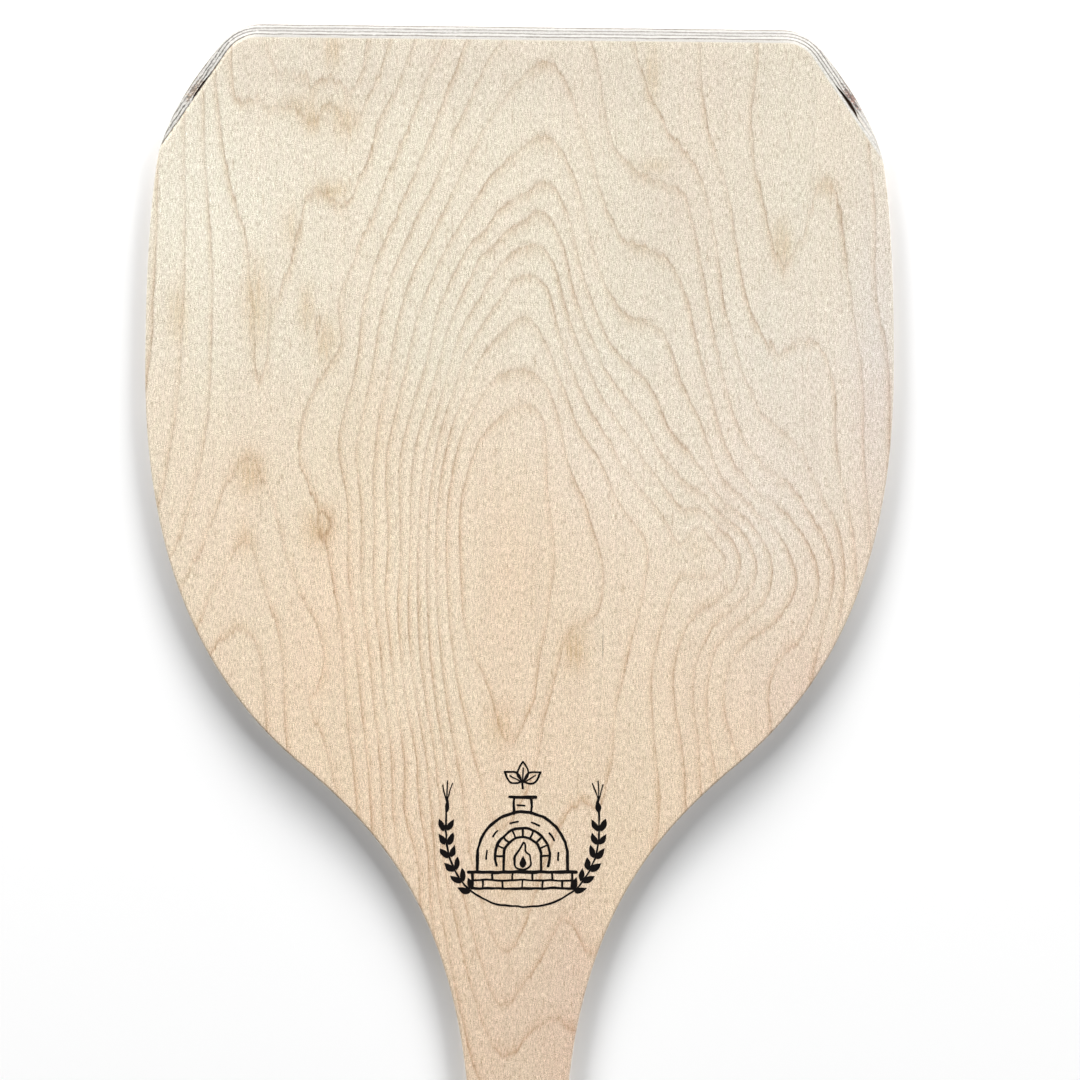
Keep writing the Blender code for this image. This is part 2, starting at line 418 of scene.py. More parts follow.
def void_edge(front_side, across, fraction):
    """Torn edge of a crossband strip along the void, as places along Y."""
    share = across / HALF_HEAD
    floor = VOID_FLOOR - VOID_DEEPENING * share
    rise = np.maximum(0.0, (fraction - floor) / (1 - floor)) ** VOID_FLARE
    rise = VOID_FOOT + (1 - VOID_FOOT) * rise
    opening = VOID_OPENING / 2 * (1 + VOID_GROWTH * share) * rise
    seed, row = (61, 0.3) if front_side else (62, 0.7)
    places = np.column_stack((across, np.full(len(across), row)))
    tear = ripple(places, seed, shortest=TEAR_WAVES[0], longest=TEAR_WAVES[1])
    offset = opening * (1 if front_side else -1) * (1 + VOID_TEAR * tear)
    return VOID_Y - math.tan(VOID_SKEW) * across + offset


def split_depth(points):
    """How far the rear strip has come away from the face ply."""
    across = (points[:, 0] - SPLIT_PLACE[0]) / SPLIT_REACH[0]
    along = (points[:, 1] - SPLIT_PLACE[1]) / SPLIT_REACH[1]
    return SPLIT_DEPTH * np.exp(-(across**2) - along**2)


def strip_rim(ring, front_side, fraction):
    """The stretch of a whole ring that one strip keeps, with both ends on the void's edge."""
    gap = ring[:, 1] - void_edge(front_side, ring[:, 0], fraction)
    gap = gap if front_side else -gap
    kept = gap > 0
    start = np.flatnonzero(kept & ~np.roll(kept, 1))[0]
    ring, gap, kept = (np.roll(part, -start, axis=0) for part in (ring, gap, kept))
    count = int(kept.sum())
    ends = []
    for inner, outer in ((0, -1), (count - 1, count)):
        share = gap[inner] / (gap[inner] - gap[outer])
        ends.append(ring[inner] + share * (ring[outer] - ring[inner]))
    return ring[:count], ends


def strip_loop(low, high, front_side, fraction):
    """Closed loop round one crossband strip, with the same number of points at every fraction."""
    ring = edge_points(between(low, high, OUTLINE, fraction))
    rim, (first_end, last_end) = strip_rim(ring, front_side, fraction)
    rim = evenly(rim, STRIP_FRONT_STEPS if front_side else STRIP_REAR_STEPS)
    across = np.linspace(last_end[0], first_end[0], VOID_STEPS)
    cut = np.column_stack((across, void_edge(front_side, across, fraction)))
    loop = np.vstack((rim, np.column_stack((cut, between(low, high, cut, fraction)))))
    if not front_side:
        loop[:, 2] -= fraction * split_depth(loop[:, :2])
    return loop


def strip(node):
    """One strip of the crossband under the face, with its edge along the void marked as torn."""
    sides, fractions, _ = LAYERS[node]
    front_side = node == "crossband_front_strip"
    loops = [strip_loop(*sides, front_side, fraction) for fraction in fractions]
    holes = [] if front_side else [hole_ring(*sides, fraction) for fraction in fractions]
    piece = loft(node, sides, loops, holes)
    size = len(loops[0])
    torn = np.zeros((len(loops), size + (0 if front_side else HOLE_SIDES)))
    torn[:, size - VOID_STEPS : size] = 1.0
    # The torn mark also steers the void's painted shade in the ply material.
    store(piece, "torn", torn.ravel())
    return piece


# ---- growth-ring figure
# Growth rings of the face's figure: ring number and points on it, in millimetres. The numbers
# rise outwards from the long island in the middle of the head.
FACE_RINGS = (
    (0.55, (0, 120), (-4, 90), (0, 60)),
    (1, (2, 148), (-16, 134), (-24, 109), (-23, 62), (-12, 32), (-2, 12), (6, 29), (11, 60), (13, 97),
        (9, 141)),
    (2, (-1, 161), (-17, 148), (-27, 122), (-29, 69), (-23, 26), (-1, -16), (10, 22), (17, 51),
        (30, 62), (29, 96), (18, 127), (7, 158)),
    (3, (-1, 182), (-17, 165), (-29, 134), (-34, 85), (-28, 20), (-13, -60), (-4, -72), (4, -58),
        (33, -11), (37, 12), (45, 54), (51, 92), (32, 125), (19, 149), (7, 177)),
    (4, (2, 200), (-16, 179), (-31, 141), (-37, 105), (-37, 65), (-32, 17), (-19, -62), (-6, -94),
        (3, -84), (17, -60), (28, -72), (55, -26), (53, 29), (60, 69), (59, 100), (40, 124), (23, 155),
        (12, 189), (62, 92), (72, 99), (82, 87), (70, 78)),
    (3.55, (72, 88)),
    (5, (4, 211), (-16, 191), (-35, 140), (-41, 85), (-39, 38), (-32, -10), (-17, -92), (-7, -113),
        (5, -104), (67, -13), (62, 40), (71, 64), (88, 87), (80, 98), (65, 106), (52, 122), (32, 151),
        (17, 189)),
    (6, (6, 225), (-16, 207), (-34, 160), (-44, 101), (-43, 37), (-34, -35), (73, -7), (72, 13),
        (75, 53), (95, 84), (72, 113), (52, 136), (31, 168), (19, 202)),
    (7, (3, 233), (-16, 215), (-38, 165), (-48, 85), (-41, 4), (-36, -35), (76, 15), (79, 50),
        (101, 82), (80, 110), (59, 138), (35, 173), (23, 205)),
    (8, (4, 254), (-17, 232), (-42, 181), (-54, 126), (-54, 69), (-46, -15), (88, 7), (91, 52),
        (111, 79), (91, 109), (72, 141), (57, 177), (32, 199), (18, 245)),
    (9, (9, 285), (-13, 262), (-41, 205), (-58, 129), (-56, 50), (-48, -35), (101, 23), (105, 46),
        (120, 75), (96, 112), (72, 167), (59, 205), (44, 212), (27, 250)),
    (10, (-8, 294), (-27, 256), (-53, 196), (-66, 128), (-64, 84), (-55, -11), (118, 40), (126, 82),
        (96, 125), (75, 189), (65, 232), (47, 241), (35, 256), (27, 294)),
    (11, (-22, 294), (-41, 244), (-64, 181), (-69, 105), (-65, 41), (-59, -21), (127, 56), (122, 109),
        (99, 142), (81, 190), (63, 252), (46, 289)),
    (12, (-32, 293), (-56, 232), (-72, 172), (-75, 164), (-82, 182), (-89, 129), (-80, 94), (-76, 100),
        (-72, 59), (-65, -15), (135, 85), (126, 153), (113, 175), (104, 169), (88, 202), (76, 254),
        (71, 291), (-127, 269), (-124, 216), (-124, 152), (-138, 87)),
    (13, (-43, 294), (-58, 257), (-71, 227), (-79, 231), (-92, 203), (-102, 160), (-105, 166),
        (-112, 220), (-120, 252), (-134, 75), (-121, 103), (-103, 117), (-93, 84), (-85, 29), (-81, 31),
        (-78, 47), (-73, -7), (138, 126), (133, 188), (127, 234), (106, 205), (93, 250), (95, 292)),
    (14, (-53, 293), (-63, 269), (-66, 261), (-68, 257), (-72, 261), (-76, 267), (-79, 265), (-84, 260),
        (-88, 263), (-93, 267), (-100, 265), (-106, 269), (-115, 271), (-116, 284), (-128, 58),
        (-115, 84), (-109, 92), (-101, 69), (-93, 11), (140, 250), (143, 188), (147, 170)),
    (15, (-62, 294), (-65, 277), (-70, 271), (-74, 277), (-80, 277), (-84, 272), (-87, 279), (-96, 279),
        (-100, 285), (-102, 291), (-122, 48), (-115, 55), (-105, 50), (-101, 18)),
    (6, (-4, -140)), (7, (-2, -172)), (8, (-3, -206)), (9, (-2, -246)), (10, (0, -285)),
)

# The figure is stretched along the fibres, so distances count less that way.
FIGURE_SCALE = np.array((0.010, 0.0045))
FIGURE_STIFFNESS = 0.0002


def kernel(squared):
    """Thin-plate kernel and its slope divided by distance, from squared distances."""
    logarithm = np.log(squared + 1e-9)
    return squared * logarithm / 2, logarithm + 1.0


def solve_figure(rings):
    """Smooth surface through all the rings: its centres, weights and flat part."""
    centres = np.array([point for _, *points in rings for point in points], dtype=float)
    centres *= FIGURE_SCALE
    values = np.array([number for number, *points in rings for _ in points], dtype=float)
    count = len(centres)
    gaps = centres[:, None, :] - centres[None, :, :]
    system = np.zeros((count + 3, count + 3))
    system[:count, :count] = kernel((gaps**2).sum(axis=2))[0] + FIGURE_STIFFNESS * np.eye(count)
    system[:count, count] = 1.0
    system[:count, count + 1 :] = centres
    system[count:, :count] = system[:count, count:].T
    solved = np.linalg.solve(system, np.concatenate((values, np.zeros(3))))
    return centres, solved[:count], solved[count:]


FACE_FIGURE = solve_figure(FACE_RINGS)


def face_figure(points):
    """Ring number of the face's veneer, and its slopes across and along, per millimetre."""
    centres, weights, flat = FACE_FIGURE
    places = points / MM * FIGURE_SCALE
    gaps = places[:, None, :] - centres[None, :, :]
    value, slope = kernel((gaps**2).sum(axis=2))
    ring = value @ weights + flat[0] + places @ flat[1:]
    slopes = np.einsum("pcd,pc,c->pd", gaps, slope, weights) + flat[1:]
    return ring, slopes * FIGURE_SCALE


# The back was peeled further out on the log: nested arches off the middle, and straighter sides.
BACK_ARCH_PLACE, BACK_ARCH_BREADTH = 30.0, 30.0
BACK_ARCH_SWAY, BACK_SWAY_LENGTH = 12.0, 170.0
BACK_RING_DENSITY, BACK_RING_DRIFT, BACK_UNEVENNESS = 0.11, 0.013, 0.35


def back_rings(points):
    """Ring number of the back veneer."""
    x, y = points.T / MM
    across = x - BACK_ARCH_PLACE + BACK_ARCH_SWAY * np.sin(y / BACK_SWAY_LENGTH)
    breadth = np.sqrt(across**2 + BACK_ARCH_BREADTH**2)
    uneven = ripple(points * (2.5, 1.0), seed=71, shortest=50 * MM, longest=300 * MM)
    rings = BACK_RING_DENSITY * breadth + BACK_RING_DRIFT * (y + 300)
    return rings + BACK_UNEVENNESS * uneven


def back_figure(points):
    """Ring number of the back veneer, and its slopes across and along, per millimetre."""
    slopes = []
    for step in ((0.5 * MM, 0.0), (0.0, 0.5 * MM)):
        slopes.append(back_rings(points + step) - back_rings(points - step))
    return back_rings(points), np.column_stack(slopes)


def store_figure(piece, figure):
    """Keep the figure on a ply's points: ring number, steepness and slope along the fibres."""
    ring, slopes = figure(vertex_places(piece)[:, :2])
    steepness = np.maximum(np.linalg.norm(slopes, axis=1), 1e-4)
    store(piece, "figure", np.column_stack((ring, steepness, slopes[:, 1])))


# Tan patches on the face, as (across, along, half width, half length, strength) in millimetres.
TAN_PATCHES = (
    (-76, 288, 3, 7, 0.9), (-88, 266, 9, 5, 0.5), (-71, 260, 5, 7, 0.9), (-84, 259, 4, 5, 0.8),
    (-76, 232, 7, 4, 0.9), (-92, 217, 4, 9, 0.5), (-106, 187, 5, 17, 0.9), (-86, 184, 3, 10, 0.8),
    (-78, 171, 4, 9, 0.9), (-137, 182, 4, 12, 0.7), (-108, 119, 6, 9, 0.9), (-81, 97, 6, 8, 0.9),
    (-110, 93, 4, 7, 0.6), (22, 49, 5, 9, 1.0), (-8, 18, 5, 9, 0.7), (-6, -40, 5, 9, 0.7),
    (52, 281, 3, 12, 0.7), (104, 212, 4, 9, 0.9), (122, 235, 5, 4, 0.6), (53, 243, 6, 3, 0.6),
    (72, 90, 5, 5, 0.4), (-58, 140, 16, 32, 0.15),
)


def patch(piece, x, y, width, length):
    """How strongly each point of a piece lies in a round patch, as one column."""
    offset = (vertex_places(piece)[:, :2] / MM - (x, y)) / (width, length)
    return np.exp(-(offset**2).sum(axis=1))[:, None]


def store_tan(piece):
    """Keep how strongly each point of the face lies in a tan patch."""
    total = sum(strength * patch(piece, *shape) for *shape, strength in TAN_PATCHES)
    store(piece, "tan", np.minimum(total[:, 0], 1.0))


# Broad shades of the face, as (across, along, half width, half length, tint) in millimetres.
TONE_PATCHES = (
    (-62, 75, 42, 95, (1.035, 1.005, 0.975)),
    (-41, 60, 20, 90, (1.03, 1.075, 1.11)),
    (-131, 150, 22, 90, (1.03, 1.02, 1.01)),
    (-130, 225, 34, 48, (1.04, 1.07, 1.10)),
    (-60, 225, 60, 55, (1.02, 1.02, 1.02)),
    (108, 120, 42, 75, (0.985, 1.00, 1.06)),
    (92, 100, 28, 28, (1.02, 1.05, 1.08)),
    (34, 130, 32, 36, (1.03, 1.05, 1.09)),
    (144, 170, 12, 75, (0.965, 0.965, 1.04)),
    (114, 30, 24, 24, (0.96, 0.93, 0.96)),
    (0, 95, 24, 55, (1.0, 0.955, 0.925)),
    (0, -110, 34, 60, (0.92, 0.93, 0.965)),
    (22, -95, 12, 50, (0.96, 0.94, 0.97)),
    (0, 280, 150, 16, (0.935, 0.925, 0.935)),
    (105, 240, 45, 45, (0.965, 0.965, 0.97)),
    (55, 225, 22, 40, (0.96, 0.945, 0.95)),
)


def store_tone(piece):
    """Keep the broad shade of each point of the face, as a tint."""
    tone = sum(patch(piece, *shape) * np.log(tint) for *shape, tint in TONE_PATCHES)
    store(piece, "tone", np.exp(tone))


# ---- printed mark
# A plain brick oven between two ears of wheat, drawn in millimetres about its own middle.
MARK_MIDDLE = (1.4 * MM, -24.0 * MM)
INK_THICKNESS = 0.04 * MM
STROKE = 1.05
THIN_STROKE = 0.8
DISC_SIDES = 10
MARK_WOBBLE = 0.16
DOME_MIDDLE, DOME_RADIUS = (0.0, -10.0), 18.0
MOUTH_MIDDLE, MOUTH_RADIUS, VOUSSOIR_RADIUS = (0.0, -9.5), 7.5, 11.0
HEARTH, PLINTH_FOOT, PLINTH_HALF = -16.0, -22.5, 20.0
FLAME = (
    (0.0, -15.2), (3.3, -13.4), (2.9, -9.6), (1.5, -8.0),
    (0.6, -4.4), (-1.6, -7.4), (-3.2, -10.6), (-3.0, -13.8),
)
VOUSSOIR_ANGLE = 22.5
BRICK = 8.0
CHIMNEY_HALF, CHIMNEY_FOOT, CHIMNEY_TOP = 3.4, 7.4, 13.4
CAP_HALF, CAP_LEVEL = 5.2, 14.0
DASH_RADIUS, DASH_ANGLE, DASH_STARTS = 14.4, 13, (-6, 28, 62, 97, 133, 170)
SPRIG_FOOT, SPRIG_LENGTH, SPRIG_ANGLE = 19.5, 8.6, 58
STEM = ((0, -30), (13, -28), (24, -20), (30, -7), (30.5, 8))
GRAIN_ROOT, GRAIN_LENGTH, GRAIN_SPREAD, GRAIN_HALF_WIDTH = 0.6, 4.9, 3.0, 1.2
BEARDS, BEARD_STROKE = ((-2.4, 11.5), (-0.4, 12.5), (1.6, 11.0)), 0.55


def arc(middle, radius, start, stop, step=1.2):
    """Points along an arc; angles in degrees from the right, anticlockwise."""
    count = max(3, round(abs(math.radians(stop - start)) * radius / step) + 1)
    angle = np.radians(np.linspace(start, stop, count))
    return np.column_stack((np.cos(angle), np.sin(angle))) * radius + middle


def line(*points, step=1.5):
    """Points along straight runs."""
    result = [np.array(points[0], dtype=float)]
    for start, end in zip(points, points[1:]):
        start, end = np.array(start, dtype=float), np.array(end, dtype=float)
        count = max(1, round(np.linalg.norm(end - start) / step))
        result += [start + (end - start) * i / count for i in range(1, count + 1)]
    return np.array(result)


def flowing(points, closed=False, steps=8):
    """Smooth line through points, as a Catmull-Rom curve."""
    points = np.array(points, dtype=float)
    if closed:
        points = np.vstack((points[-1:], points, points[:2]))
    else:
        points = np.vstack((2 * points[0] - points[1], points, 2 * points[-1] - points[-2]))
    result = []
    for a, b, c, d in zip(points, points[1:], points[2:], points[3:]):
        for t in np.arange(steps) / steps:
            bend = 2 * a - 5 * b + 4 * c - d
            result.append((2 * b + (c - a) * t + bend * t**2 + (3 * b - a - 3 * c + d) * t**3) / 2)
    if not closed:
        result.append(points[-2])
    return np.array(result)


def leaf(base, tip, half_width, steps=9):
    """Closed outline of a lens-shaped leaf or grain."""
    base, tip = np.array(base, dtype=float), np.array(tip, dtype=float)
    along = tip - base
    side = np.array((-along[1], along[0])) / np.linalg.norm(along)
    share = np.linspace(0.0, 1.0, steps)
    bulge = half_width * np.sin(math.pi * share**0.8)
    right = base + share[:, None] * along - bulge[:, None] * side
    left = base + share[:, None] * along + bulge[:, None] * side
    return np.vstack((right, left[-2:0:-1]))


def oven_strokes():
    """Lines of the oven: dome, hearth, plinth, mouth, chimney and bricks."""
    course = (HEARTH + PLINTH_FOOT) / 2
    dome = arc(DOME_MIDDLE, DOME_RADIUS, 180, 0)
    mouth = arc(MOUTH_MIDDLE, MOUTH_RADIUS, 180, 0)
    box = [(-PLINTH_HALF, HEARTH), (-PLINTH_HALF, PLINTH_FOOT)]
    box += [(PLINTH_HALF, PLINTH_FOOT), (PLINTH_HALF, HEARTH)]
    strokes = [
        (np.vstack(((-DOME_RADIUS, HEARTH), dome, (DOME_RADIUS, HEARTH))), STROKE * 1.15),
        (np.vstack(((-MOUTH_RADIUS, HEARTH), mouth, (MOUTH_RADIUS, HEARTH))), STROKE),
        (arc(MOUTH_MIDDLE, VOUSSOIR_RADIUS, 200, -20), STROKE),
        (line((-PLINTH_HALF - 1.5, HEARTH), (PLINTH_HALF + 1.5, HEARTH)), STROKE * 1.3),
        (line(*box), STROKE),
        (line((-PLINTH_HALF, course), (PLINTH_HALF, course)), THIN_STROKE),
        (line((-CAP_HALF, CAP_LEVEL), (CAP_HALF, CAP_LEVEL)), STROKE * 1.3),
        (line((-2.0, 10.6), (0.8, 10.6)), THIN_STROKE),
    ]
    for x in (-CHIMNEY_HALF, CHIMNEY_HALF):
        strokes.append((line((x, CHIMNEY_FOOT), (x, CHIMNEY_TOP)), STROKE))
    for first, low, high in ((-2.0, PLINTH_FOOT, course), (-1.5, course, HEARTH)):
        for place in np.arange(first * BRICK, PLINTH_HALF - 1, BRICK):
            strokes.append((line((place, low), (place, high)), THIN_STROKE))
    for angle in np.arange(0, 181, VOUSSOIR_ANGLE):
        ends = [arc(MOUTH_MIDDLE, r, angle, angle)[0] for r in (MOUTH_RADIUS, VOUSSOIR_RADIUS)]
        strokes.append((line(*ends), THIN_STROKE))
    for angle in DASH_STARTS:
        strokes.append((arc(DOME_MIDDLE, DASH_RADIUS, angle, angle + DASH_ANGLE), THIN_STROKE))
    return strokes


def wheat(side):
    """Strokes and filled grains of one ear; side is -1 on the left and 1 on the right."""
    stem = flowing([(side * u, v) for u, v in STEM])
    strokes = [(stem, THIN_STROKE)]
    shapes = []
    ear = stem[len(stem) * 2 // 5 :: 3]
    for place, ahead in zip(ear[:-1], ear[1:]):
        along = (ahead - place) / np.linalg.norm(ahead - place)
        across = np.array((-along[1], along[0]))
        for lean in (-1, 1):
            base = place + GRAIN_ROOT * lean * across
            tip = place + GRAIN_LENGTH * along + GRAIN_SPREAD * lean * across
            shapes.append(leaf(base, tip, GRAIN_HALF_WIDTH))
    tip = stem[-1]
    shapes.append(leaf(tip - (0, 0.5), tip + (side * -0.6, 5.2), 1.05))
    for u, v in BEARDS:
        beard = line(tip + (0, 4), tip + (side * u, v), step=2.5)
        strokes.append((beard, BEARD_STROKE))
    return strokes, shapes


def stroke_shapes(points, width):
    """Polygons that cover one stroke: a quad for each step and a disc at each point."""
    shapes = []
    for start, end in zip(points, points[1:]):
        along = (end - start) / np.linalg.norm(end - start)
        side = np.array((-along[1], along[0])) * width / 2
        shapes.append(np.array((start - side, end - side, end + side, start + side)))
    turn = np.linspace(0.0, math.tau, DISC_SIDES, endpoint=False)
    disc = np.column_stack((np.cos(turn), np.sin(turn))) * width / 2
    shapes += [point + disc for point in points]
    return shapes


def mark_shapes():
    """All the mark's polygons, with the slight unevenness of a hand-cut stamp."""
    strokes, shapes = oven_strokes(), []
    for side in (-1, 1):
        ear_strokes, grains = wheat(side)
        strokes += ear_strokes
        shapes += grains
    flame = flowing(FLAME, closed=True)
    strokes.append((np.vstack((flame, flame[:1])), THIN_STROKE))
    shapes.append(leaf((0.1, -14.6), (0.4, -9.6), 1.2))
    foot = np.array((0.0, SPRIG_FOOT))
    strokes.append((line(foot, foot - (0, 2.2)), THIN_STROKE))
    for turn in (-SPRIG_ANGLE, 0, SPRIG_ANGLE):
        towards = np.array((math.sin(math.radians(turn)), math.cos(math.radians(turn))))
        blade = leaf(foot + 0.8 * towards, foot + SPRIG_LENGTH * towards, 2.2)
        strokes.append((np.vstack((blade, blade[:1])), THIN_STROKE))
        strokes.append((line(foot, foot + 0.7 * SPRIG_LENGTH * towards), 0.6))
    for points, width in strokes:
        shapes += stroke_shapes(points, width)
    wobbly = []
    for shape in shapes:
        drift = [ripple(shape * MM, seed, shortest=3 * MM, longest=20 * MM) for seed in (81, 82)]
        wobbly.append(shape + MARK_WOBBLE * np.column_stack(drift))
    return wobbly


def make_mark():
    """The mark as one thin film of ink on the face."""
    shapes = mark_shapes()
    points, polygons = [], []
    for shape in shapes:
        polygons.append(list(range(len(points), len(points) + len(shape))))
        points += [Vector(point) for point in shape]
    result = delaunay_2d_cdt(points, [], polygons, 1, 1e-5)
    triangles = [tuple(face) for face, owners in zip(result[2], result[5]) if owners]
    used = sorted({corner for triangle in triangles for corner in triangle})
    number = {corner: i for i, corner in enumerate(used)}
    flat = np.array([result[0][corner] for corner in used]) * MM + MARK_MIDDLE
    vertices = [(*point, THICKNESS + INK_THICKNESS) for point in flat]
    vertices += [(*point, THICKNESS) for point in flat]
    top = [tuple(number[corner] for corner in triangle) for triangle in triangles]
    bottom = [tuple(corner + len(flat) for corner in reversed(triangle)) for triangle in top]
    edges = {(a, b) for triangle in top for a, b in zip(triangle, triangle[1:] + triangle[:1])}
    rim = sorted(edge for edge in edges if edge[::-1] not in edges)
    sides = [(a, a + len(flat), b + len(flat), b) for a, b in rim]
    return add_piece("printed_mark", vertices, top + bottom + sides, [])


# ---- node graphs
PATCHY = (0.3, 0.7)


class Graph:
    """Short calls that add and join the nodes of one material."""

    def __init__(self, name):
        self.material = bpy.data.materials.new(name)
        self.material.use_nodes = True
        self.tree = self.material.node_tree
        self.shader = self.tree.nodes["Principled BSDF"]
        self.place = self.add("TexCoord", output=3)
        self.x, self.y, _ = self.split(self.place)

    def add(self, kind, inputs=(), output=0, **settings):
        """Add a node, set its settings and inputs, and return one of its outputs."""
        node = self.tree.nodes.new(f"ShaderNode{kind}")
        for key, value in settings.items():
            setattr(node, key, value)
        for key, value in dict(inputs).items():
            self.feed(node.inputs[key], value)
        return node.outputs[output]

    def feed(self, socket, value):
        """Join a socket to an output, or set its value."""
        if isinstance(value, bpy.types.NodeSocket):
            self.tree.links.new(value, socket)
        elif isinstance(value, tuple) and socket.type == "RGBA":
            socket.default_value = (*value, 1.0)
        else:
            socket.default_value = value

    def finish(self, colour, roughness, sheen=0.5):
        """Feed the shader's main inputs and return the material."""
        inputs = {"Base Color": colour, "Roughness": roughness, "Specular IOR Level": sheen}
        for key, value in inputs.items():
            self.feed(self.shader.inputs[key], value)
        return self.material

    def math(self, operation, first, second=0.0, third=0.0):
        """A Math node."""
        return self.add("Math", {0: first, 1: second, 2: third}, operation=operation)

    def times(self, first, second):
        """Product of two values."""
        return self.math("MULTIPLY", first, second)

    def ratio(self, first, second):
        """One value divided by another."""
        return self.math("DIVIDE", first, second)

    def less(self, value):
        """One less a value."""
        return self.math("SUBTRACT", 1.0, value)

    def split(self, vector):
        """The three components of a vector."""
        return self.add("SeparateXYZ", {0: vector}).node.outputs

    def facing(self, axis):
        """How squarely the surface faces along X, Y or Z."""
        normal = self.split(self.add("NewGeometry", output=1))
        return self.math("ABSOLUTE", normal["XYZ".index(axis)])

    def stored(self, name, output=2):
        """A number kept on the mesh, or a vector with output 1."""
        return self.add("Attribute", output=output, attribute_name=name)

    def scaled(self, vector, factors):
        """A vector or colour multiplied by another one."""
        return self.add("VectorMath", {0: vector, 1: factors}, operation="MULTIPLY")

    def length(self, vector):
        """Length of a vector."""
        return self.add("VectorMath", {0: vector}, output=1, operation="LENGTH")

    def noise(self, cell, detail=2.0, roughness=0.5):
        """Noise from 0 to 1 whose cells have the given size in millimetres along X, Y and Z."""
        vector = self.scaled(self.place, tuple(1 / (length * MM) for length in cell))
        inputs = {"Vector": vector, "Scale": 1.0, "Detail": detail, "Roughness": roughness}
        return self.add("TexNoise", inputs)

    def centred(self, cell, **settings):
        """Noise from -0.5 to 0.5."""
        return self.math("SUBTRACT", self.noise(cell, **settings), 0.5)

    def patchy(self, cell, start=0.0, end=1.0, detail=2.0):
        """Noise that is stretched to reach start and end in many places."""
        return self.ramp(self.noise(cell, detail), *PATCHY, start, end)

    def ramp(self, value, low, high, start=0.0, end=1.0, smooth=True):
        """Map a value from low..high to start..end, without going past either."""
        inputs = {"Value": value, 1: low, 2: high, 3: start, 4: end}
        kind = "SMOOTHSTEP" if smooth else "LINEAR"
        return self.add("MapRange", inputs, interpolation_type=kind)

    def fade(self, value, reach):
        """One where a value is 0, falling to 0 where it equals the reach."""
        return self.less(self.ramp(self.ratio(value, reach), 0.0, 1.0))

    def mix(self, factor, first, second, blend="MIX"):
        """A colour mix."""
        inputs = {"Factor": factor, "A": first, "B": second}
        return self.add("Mix", inputs, data_type="RGBA", blend_type=blend).node.outputs["Result"]

    def tint(self, amount, colour, factors):
        """A colour multiplied by another one, by an amount from 0 to 1."""
        return self.mix(amount, colour, factors, "MULTIPLY")

    def shade(self, colour, amount):
        """A colour multiplied by a grey amount."""
        return self.add("VectorMath", {0: colour, "Scale": amount}, operation="SCALE")

    def near(self, place, reach, inner, outer, ragged):
        """How close a point is to a place, from 1 within inner times the reach to 0 at outer."""
        offset = self.add("VectorMath", {0: self.place, 1: place}, operation="SUBTRACT")
        distance = self.length(self.scaled(offset, tuple(1 / length for length in reach)))
        return self.ramp(self.math("ADD", distance, ragged), outer, inner)

    def bump(self, height, distance, strength):
        """Feed a bump to the shader; the distance is in millimetres."""
        inputs = {"Height": height, "Distance": distance * MM, "Strength": strength}
        self.feed(self.shader.inputs["Normal"], self.add("Bump", inputs))


# ---- wood and glue
CREAM = (0.757, 0.682, 0.560)
PEACH = (0.792, 0.614, 0.445)
BACK_CREAM = (0.735, 0.640, 0.505)
BACK_PEACH = (0.765, 0.600, 0.440)
CORE_WOOD = (0.68, 0.58, 0.45)
CROSS_WOOD = (0.62, 0.51, 0.385)
SPECKLE_DARK = (0.46, 0.39, 0.28)
SPECKLE_PALE = (1.54, 1.61, 1.72)
LATEWOOD_TINT = (0.875, 0.80, 0.73)
LINE_TINT = (0.72, 0.65, 0.605)
WARM_LINE_TINT = (0.74, 0.625, 0.545)
TAN_TINT = (0.83, 0.725, 0.59)
FLECK_TINT = (0.80, 0.74, 0.68)
CHECK_SHADE_TINT = (0.45, 0.42, 0.40)
ROSY, GREENISH = (1.010, 0.990, 0.990), (0.992, 1.010, 0.992)
WARMER = (0.165, -0.115)
WOOD_ROUGHNESS = 0.7
LATEWOOD_SHARE, LINE_SHARE, FLECK_SHARE = 0.80, 0.78, 0.7
RIM_AND_HIGHLIGHT_SHARE, SOAK_SHARE, STAIN_SHARE = 0.45, 0.97, 0.88
INK_BLACK, INK_BROWN, INK_SHEEN = (0.004, 0.003, 0.003), (0.028, 0.018, 0.013), 0.12

# Growth rings, in millimetres: breadth of the line and of the latewood inside it, first where
# they run along the fibres and then where they cross them; and how far single fibres shift the
# inner and the outer rings. The rings also wander by a share of their spacing.
CRISP_LINE, CROSSING_LINE = 0.75, 2.45
CRISP_LATEWOOD, CROSSING_LATEWOOD = 4.0, 10.0
RAGGED_REACH = (4.5, 12.6)
RING_WANDER = 0.16

# A short drying check in the face, right of the middle, drawn as a dark line in the colour: painted
# shade of the crack, which has no depth in the mesh.
CHECK_PLACE = (33.2 * MM, 51.0 * MM, THICKNESS)
CHECK_REACH = (0.22 * MM, 8.0 * MM, 10.0 * MM)

SOAKED = (0.40, 0.30, 0.20)
SANDED = (0.385, 0.378, 0.355)
SANDED_PINK = (0.388, 0.370, 0.345)
SANDED_SOAKED = (0.13, 0.118, 0.102)
SCORCHED = (0.022, 0.017, 0.014)
SOAK_LEAST, SOAK_SPREAD, SCORCH_SPREAD = 0.11, 0.40, 0.10
# Pale rim on the round-over: partly paler sanded wood, partly a painted highlight of the rounded edge.
SANDED_RIM_AND_HIGHLIGHT = (0.86, 0.83, 0.78)
# Stains on the bevel below both ends of the void: (place, reach, dark spots, pale spots).
STAINS = (
    (
        (0.1328, 0.2728, 0.0027), (0.0050, 0.0062, 0.0014),
        (0.020, 0.005, 0.003), (0.270, 0.135, 0.100),
    ),
    (
        (-0.1330, 0.2730, 0.0036), (0.0050, 0.0055, 0.0014),
        (0.110, 0.075, 0.050), (0.440, 0.335, 0.250),
    ),
)
